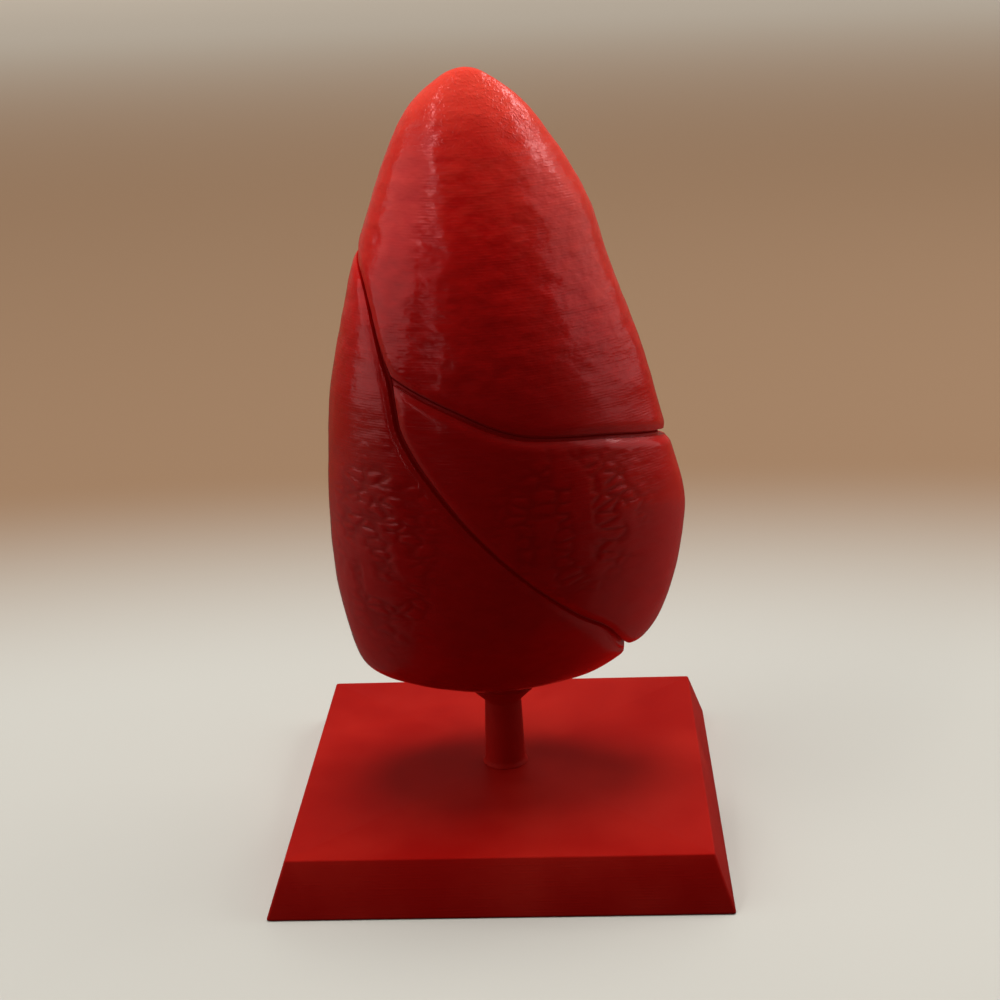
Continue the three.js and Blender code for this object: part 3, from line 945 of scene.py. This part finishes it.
class LUNG_OT_build_lobes(bpy.types.Operator):
    """Builds the three lobes: one fine skin, split at the fissures, with bores and sockets"""

    bl_idname = "lung.build_lobes"
    bl_label = "Build lobes"

    def execute(self, context):
        sizes = context.scene.lung_sizes
        oblique = fissure(OBLIQUE_FISSURE, OBLIQUE_CHANNEL, sizes)
        horizontal = fissure(HORIZONTAL_FISSURE, HORIZONTAL_CHANNEL, sizes)
        fissures = {"oblique": oblique, "horizontal": horizontal}
        apart = np.linalg.norm(horizontal[0][:, None] - oblique[0][None], axis=-1).min(1)
        meeting = apart.argmin()
        grooves = (oblique, (horizontal[0][meeting:], horizontal[1][meeting:]))
        skin = relieved_rings(grooves, sizes)
        core = core_rings(sizes)
        for name, cuts in LOBE_SIDES.items():
            body = name.split("_")[0]
            cuts = [(*fissures[cut], side) for cut, side in cuts]
            lobe = self.share_of(skin, name + "_skin", cuts, True, sizes)
            carve(lobe, [self.share_of(core, "tool", cuts, False, sizes)], "UNION")
            hollow, *others = self.hollows(name, BODIES[body])
            carve(hollow, others, "UNION")
            carve(lobe, [hollow])
            finish_mesh(lobe, sharp_angle=35)
            points = mesh_points(lobe.data)
            for label, values in (
                ("painted_light_share", painted_light_share(points, sizes)),
                ("groove", channel_share(points, grooves)),
                ("crease", creases(points, sizes)),
            ):
                layer = lobe.data.attributes.new(label, "FLOAT", "POINT")
                layer.data.foreach_set("value", values)
            settle(lobe, body, bpy.data.materials["lobe print"], "red_print", name)
        return {"FINISHED"}

    @staticmethod
    def share_of(grid, name, cuts, open_channel, sizes):
        """The part of a whole lung that lies on the given sides of the fissures."""
        room, *others = [
            beside_fissure(line, halves if open_channel else sizes.fissure_gap / 2, side, sizes)
            for line, halves, side in cuts
        ]
        carve(room, others, "INTERSECT")
        share = ring_piece(name, grid[0], grid[1][0], grid[1][1])
        carve(share, [room], "INTERSECT")
        return share

    @staticmethod
    def hollows(lobe, members):
        """Tools for a lobe's magnet pockets, dowel bores and stub sockets. A magnet seats in its
        own lobe."""
        tools = []
        for name in frame["nodes"]:
            if "magnet" in name and name in members:
                tools.append(bore_tool(name))
            elif "dowel" in name and lobe in DOWEL_LOBES[name.split("_")[0]]:
                tools.append(bore_tool(name))
        tools += [socket_tool(name) for name in members if name.endswith(STUB_ENDINGS)]
        if lobe == "lower_lobe":
            tools.append(head_seat_tool())
            tools.append(slanted_prism(NOTCH_OUTLINE * MM, NOTCH_SLANT, NOTCH_REACH))
        return tools


def stub_sizes(name):
    """Centre line, radius and both ends along Y of a CAD stub."""
    low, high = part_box(name)
    return (low.x + high.x) / 2, (low.z + high.z) / 2, (high.x - low.x) / 2, low.y, high.y


def socket_tool(name):
    """A round tool that cuts a stub's socket and clears the way out of it."""
    x, z, radius, seat, tip = stub_sizes(name)
    profile = rod(radius + CLEARANCE, seat - CLEARANCE, tip)
    return turned_piece("tool", profile, (x, 0, z), (0, 1, 0), SOCKET_SIDES)


def head_seat_tool():
    """A round tool that cuts the seat of the post's head in the lung's underside."""
    low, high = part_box("stand_post")
    return turned_piece("tool", rod((high.x - low.x) / 2 + CLEARANCE, 0, high.z + CLEARANCE))


class LUNG_OT_build_stubs(bpy.types.Operator):
    """Builds the bronchus and vessel stubs at the hilum"""

    bl_idname = "lung.build_stubs"
    bl_label = "Build stubs"

    def execute(self, context):
        material = bpy.data.materials["stand print"]
        for body, members in BODIES.items():
            for name in members:
                if name.endswith(STUB_ENDINGS):
                    settle(stub_piece(name), body, material, "red_print", name)
        return {"FINISHED"}


def stub_piece(name):
    """A stub: a tube with a closed end in its seat, a collar at the skin and a rounded rim. The
    radii round the profile's corners in order."""
    x, z, radius, seat, tip = stub_sizes(name)
    skin = seat + STUB_SEAT
    bore = radius - STUB_WALL
    profile = [
        (0, seat), (radius, seat),
        *((radius + out * MM, skin + along * MM) for out, along in STUB_COLLAR),
        (radius, tip), (bore, tip), (bore, tip - STUB_BORE), (0, tip - STUB_BORE),
    ]
    radii = [0, 0, 0, 0.3 * MM, 0.8 * MM, 0.5 * MM, 0.5 * MM, 0.7 * MM]
    return rounded_piece(name + "_tube", profile, radii, (x, 0, z), (0, 1, 0))


class LUNG_OT_build_stand(bpy.types.Operator):
    """Builds the plinth and the post"""

    bl_idname = "lung.build_stand"
    bl_label = "Build stand"

    def execute(self, context):
        material = bpy.data.materials["stand print"]
        settle(plinth_piece(), "base", material, "red_print", "base_plinth")
        settle(post_piece(), "base", material, "red_print", "stand_post")
        return {"FINISHED"}


def square_ring(half, corner, steps=6):
    """A square outline with rounded corners: four quarter circles joined by straight sides."""
    angle = np.linspace(0, np.pi / 2, steps)
    quarter = corner * np.stack([np.cos(angle), np.sin(angle)], -1) + (half - corner)
    turn = np.array([[0, -1], [1, 0]])
    parts = [quarter]
    for _ in range(3):
        parts.append(parts[-1] @ turn.T)
    return np.vstack(parts)


def plinth_piece():
    """The plinth: a rounded profile of half width and height pairs carried round a square, less
    the post's socket and the screw's countersunk hole."""
    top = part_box("base_plinth")[1]
    corners = [(0, 0), (top.x, 0), (PLINTH_TOP, top.z), (0, top.z)]
    rings = []
    for half, height in rounded(corners, [PLINTH_EDGE, PLINTH_EDGE], steps=5)[1:-1]:
        outline = square_ring(half, PLINTH_CORNER)
        rings.append(np.column_stack([outline, np.full(len(outline), height)]))
    plinth = ring_piece("plinth_body", np.array(rings), (0, 0, 0), (0, 0, top.z))
    post_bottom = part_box("stand_post")[0].z - CLEARANCE
    socket = turned_piece("tool", rod(POST_FOOT + CLEARANCE, post_bottom, 2 * top.z))
    screw_low, screw_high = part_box("post_screw")
    head = screw_high.x + CLEARANCE
    shank = SCREW_SHANK + CLEARANCE
    hole = turned_piece("tool", [
        (0, -MM), (head, -MM), (head, screw_low.z), (shank, screw_low.z + head - shank),
        (shank, post_bottom + MM), (0, post_bottom + MM),
    ])
    carve(plinth, [socket, hole])
    finish_mesh(plinth, sharp_angle=35)
    return plinth


def post_piece():
    """The post: a taper with a small fillet on the plinth and a wide flare under the lung, less
    the bores for the screw and the dowel. The radii round the profile's corners in order."""
    low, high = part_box("stand_post")
    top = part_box("base_plinth")[1].z
    head = high.x
    out, up = POST_FILLET
    rim = high.z - POST_RIM
    flare = rim - (head - POST_NECK)
    dowel_centre, _, dowel_radius, dowel_half = bar_of("post_dowel")
    dowel_bore = dowel_radius + CLEARANCE
    dowel_floor = dowel_centre[2] - dowel_half - CLEARANCE
    screw_bore = SCREW_SHANK + CLEARANCE
    screw_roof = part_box("post_screw")[1].z + CLEARANCE
    profile = [
        (0, screw_roof), (screw_bore, screw_roof), (screw_bore, low.z), (POST_FOOT, low.z),
        (POST_FOOT, top), (POST_FOOT + out, top), (POST_FOOT, top + up),
        (POST_NECK, flare), (head, rim), (head, high.z),
        (dowel_bore, high.z), (dowel_bore, dowel_floor), (0, dowel_floor),
    ]
    radii = [0, 0, 0, 0, 0.1 * MM, 1.2 * MM, 0.8 * MM, 0.3 * MM, 0.3 * MM, 0, 0]
    return rounded_piece("post_column", profile, radii)


class LUNG_OT_build_fastenings(bpy.types.Operator):
    """Builds the screw, the dowels and the magnets"""

    bl_idname = "lung.build_fastenings"
    bl_label = "Build fastenings"

    def execute(self, context):
        steel = bpy.data.materials["steel"]
        nickel = bpy.data.materials["nickel"]
        for body, members in BODIES.items():
            for name in members:
                if "dowel" in name:
                    settle(chamfered_bar(name, DOWEL_EDGE), body, steel, "steel", name)
                elif "magnet" in name:
                    settle(chamfered_bar(name, MAGNET_EDGE), body, nickel, "nickel", name)
        settle(screw_piece(), "base", steel, "steel", "post_screw")
        return {"FINISHED"}


def chamfered_bar(name, edge):
    """A round bar in the place of a CAD bar, with rounded rims."""
    centre, axis, radius, half = bar_of(name)
    return rounded_piece(name + "_bar", rod(radius, -half, half), [edge, edge], centre, axis)


def screw_piece():
    """A countersunk screw: rings up its axis whose radius is the head's cone, and then the shank
    less a thread that winds once round for each pitch, with a hexagon socket cut in the head."""
    low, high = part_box("post_screw")
    head_rings, shank_rings, sides = 12, 260, 72
    tip_reach, tip_depth = 0.6 * MM, 0.5 * MM
    length = high.z - low.z
    cone = high.x - SCREW_SHANK
    height = np.concatenate([
        np.linspace(0, cone, head_rings), np.linspace(cone + 0.05 * MM, length, shank_rings),
    ])[:, None]
    angle = round_angles(sides)[None, :]
    turn = (height / SCREW_PITCH - angle / (2 * np.pi)) % 1
    groove = SCREW_THREAD * np.abs(2 * turn - 1) * np.clip((height - cone) / SCREW_PITCH, 0, 1)
    tip = 1 - np.clip((length - height) / tip_reach, 0, 1)
    radius = np.where(height < cone, high.x - height, SCREW_SHANK - groove) - tip_depth * tip
    rings = np.stack(
        [radius * np.cos(angle), radius * np.sin(angle), low.z + height + 0 * angle], -1)
    screw = ring_piece("screw_body", rings, (0, 0, low.z), (0, 0, high.z))
    wide, deep = SCREW_SOCKET
    carve(screw, [turned_piece("tool", rod(wide, -MM, low.z + deep), sides=6)])
    finish_mesh(screw, sharp_angle=30)
    return screw


def floor_material(colours):
    """Pale floor round the model that turns into the backdrop's colour further out. The pale part
    is an oval, long across the view. Gloss sees the floor near the model dimmed by painted shade,
    and light that bounces finds it dark on the viewer's side, a painted shadow of the viewer."""
    oval = (0.45, 1, 1)
    # Colour of the painted shade on the floor
    dark = (0.02, 0.015, 0.012, 1)
    material, tree, shader = new_material("floor paper")
    place = object_place(tree)
    scaled = add_node(tree, "ShaderNodeVectorMath", {0: place, 1: oval}, operation="MULTIPLY")
    away = add_node(tree, "ShaderNodeVectorMath", {0: scaled.outputs[0]}, operation="LENGTH")
    away = away.outputs["Value"]
    outside = ease_node(tree, away, 0.07, 0.25)
    far_off = ease_node(tree, away, 0.8, 3.0)
    colour = mix_colours(tree, outside, (*colours.floor, 1), (*colours.backdrop, 1))
    colour = mix_colours(tree, far_off, colour, (*colours.distance, 1))
    axes = axes_of(tree, place)
    aside = math_node(tree, "ADD", math_node(tree, "ABSOLUTE", axes[0]), 0.01)
    ahead = math_node(tree, "DIVIDE", product(tree, axes[1], -1.0), aside)
    # Painted shade: bounce rays see the floor dark on the viewer's side, and gloss sees it dimmer
    # near the model
    path = add_node(tree, "ShaderNodeLightPath").outputs
    unseen = math_node(tree, "SUBTRACT", 1.0, path["Is Camera Ray"])
    shaded = product(tree, ease_node(tree, ahead, 0.42, 0.66), unseen)
    near = ease_node(tree, aside, 0.07, 0.45, 0.9, 0.45)
    dimmed = product(tree, path["Is Glossy Ray"], near)
    shaded = math_node(tree, "MAXIMUM", shaded, dimmed)
    fill(tree, shader.inputs, {
        "Base Color": mix_colours(tree, shaded, colour, dark),
        "Roughness": 0.7,
        "Specular IOR Level": 0.2,
    })
    return material


def floor_sheet(colours):
    """A flat round floor: rings of points out to its edge."""
    radius = np.array([0.1, 0.3, 1.0, 3.0, 9.0])[:, None]
    angle = round_angles(TURNED_SIDES)[None, :]
    rings = np.stack([radius * np.cos(angle), radius * np.sin(angle), 0 * radius * angle], -1)
    faces = ring_quads(*rings.shape[:2])[:, [0, 3, 2, 1]].tolist()
    middle = np.arange(angle.size).tolist()
    sheet = add_piece("floor_sheet", rings.reshape(-1, 3), [*faces, middle])
    sheet.data.materials.append(floor_material(colours))


def towards(turn, rise):
    """A direction from the model: turned from the viewer's side to the right and raised, in
    degrees."""
    turn, rise = math.radians(turn), math.radians(rise)
    level = math.cos(rise)
    return Vector((math.sin(turn) * level, -math.cos(turn) * level, math.sin(rise)))


def add_sun():
    """The sky: a lamp at a great distance with a wide disc. Gloss doesn't show it."""
    data = bpy.data.lights.new("sky lamp", "SUN")
    data.angle = math.radians(SKY_WIDTH)
    data.energy = SKY_LEVEL * math.pi
    lamp = add_object("sky lamp", data)
    lamp.rotation_euler = towards(SKY_TURN, SKY_RISE).to_track_quat("Z", "Y").to_euler()
    lamp.visible_glossy = False


def add_panel(name, foot, head, width, level, distance, in_gloss):
    """A soft rectangular lamp that faces the lung. It stands from the direction of its foot to
    that of its head, and its power is its brightness times its area times pi."""
    foot = PANEL_AIM + towards(*foot) * distance
    head = PANEL_AIM + towards(*head) * distance
    middle = (foot + head) / 2
    up = (head - foot).normalized()
    out = (middle - PANEL_AIM).normalized()
    across = up.cross(out).normalized()
    data = bpy.data.lights.new(name, "AREA")
    data.shape = "RECTANGLE"
    data.size = width
    data.size_y = (head - foot).length
    data.energy = level * data.size * data.size_y * math.pi
    lamp = add_object(name, data)
    turn = Matrix((across, up, out)).transposed().to_4x4()
    lamp.matrix_world = Matrix.Translation(middle) @ turn
    lamp.visible_camera = False
    lamp.visible_glossy = in_gloss


def add_world(colours):
    """A dim world that light bounces see, and a paler one for the camera, gloss and glass. The
    viewer stands before it, so gloss sees less of it on that side."""
    dim, gloss_share = 0.12, 0.42
    world = bpy.data.worlds.new("studio")
    world.use_nodes = True
    tree = world.node_tree
    path = add_node(tree, "ShaderNodeLightPath").outputs
    way = add_node(tree, "ShaderNodeTexCoord").outputs["Generated"]
    ahead = product(tree, axes_of(tree, way)[1], -1.0)
    unshaded = ease_node(tree, ahead, 0.5, 0.9, gloss_share, 0.0)
    in_gloss = product(tree, path["Is Glossy Ray"], unshaded)
    seen = math_node(tree, "MAXIMUM", path["Is Camera Ray"], in_gloss)
    seen = math_node(tree, "MAXIMUM", seen, path["Is Transmission Ray"])
    fill(tree, tree.nodes["Background"].inputs, {
        "Strength": ease_node(tree, seen, 0.0, 1.0, dim, 1.0),
        "Color": (*colours.distance, 1),
    })
    bpy.context.scene.world = world


def add_camera():
    """The camera: turned about Z, tilted down and rolled about its own axis."""
    data = bpy.data.cameras.new("camera")
    data.sensor_width = 36.0
    data.lens = CAMERA_LENS
    data.clip_start = 0.01
    camera = add_object("camera", data)
    turn = Matrix.Rotation(math.radians(CAMERA_TURN), 4, "Z")
    tilt = Matrix.Rotation(math.radians(90 - CAMERA_TILT), 4, "X")
    roll = Matrix.Rotation(math.radians(CAMERA_ROLL), 4, "Z")
    camera.matrix_world = Matrix.Translation(CAMERA_PLACE) @ turn @ tilt @ roll
    bpy.context.scene.camera = camera


class LUNG_OT_set_stage(bpy.types.Operator):
    """Sets the floor, lamps, world and camera"""

    bl_idname = "lung.set_stage"
    bl_label = "Set stage"

    def execute(self, context):
        colours = context.scene.stage_settings
        floor_sheet(colours)
        add_sun()
        for name, settings in PANELS.items():
            add_panel(name, *settings)
        add_world(colours)
        add_camera()
        context.scene.view_settings.view_transform = "Standard"
        return {"FINISHED"}


class LUNG_PT_model(bpy.types.Panel):
    """Lists the steps that build the lung model"""

    bl_label = "Lung model"
    bl_idname = "LUNG_PT_model"
    bl_space_type = "VIEW_3D"
    bl_region_type = "UI"
    bl_category = "Lung model"

    def draw(self, context):
        column = self.layout.column()
        for step in STEPS:
            column.operator(step.bl_idname)


STEPS = (
    LUNG_OT_prepare_finishes,
    LUNG_OT_build_lobes,
    LUNG_OT_build_stubs,
    LUNG_OT_build_stand,
    LUNG_OT_build_fastenings,
    LUNG_OT_set_stage,
)
CLASSES = (LungSizes, PrintFinish, StageSettings, *STEPS, LUNG_PT_model)


def register():
    for item in CLASSES:
        bpy.utils.register_class(item)
    bpy.types.Scene.lung_sizes = PointerProperty(type=LungSizes)
    bpy.types.Scene.print_finish = PointerProperty(type=PrintFinish)
    bpy.types.Scene.stage_settings = PointerProperty(type=StageSettings)


def unregister():
    del bpy.types.Scene.stage_settings
    del bpy.types.Scene.print_finish
    del bpy.types.Scene.lung_sizes
    for item in reversed(CLASSES):
        bpy.utils.unregister_class(item)


def main():
    """Registers the add-on and builds everything in order."""
    register()
    bpy.ops.lung.prepare_finishes()
    bpy.ops.lung.build_lobes()
    bpy.ops.lung.build_stubs()
    bpy.ops.lung.build_stand()
    bpy.ops.lung.build_fastenings()
    bpy.ops.lung.set_stage()


if __name__ == "__main__":
    main()
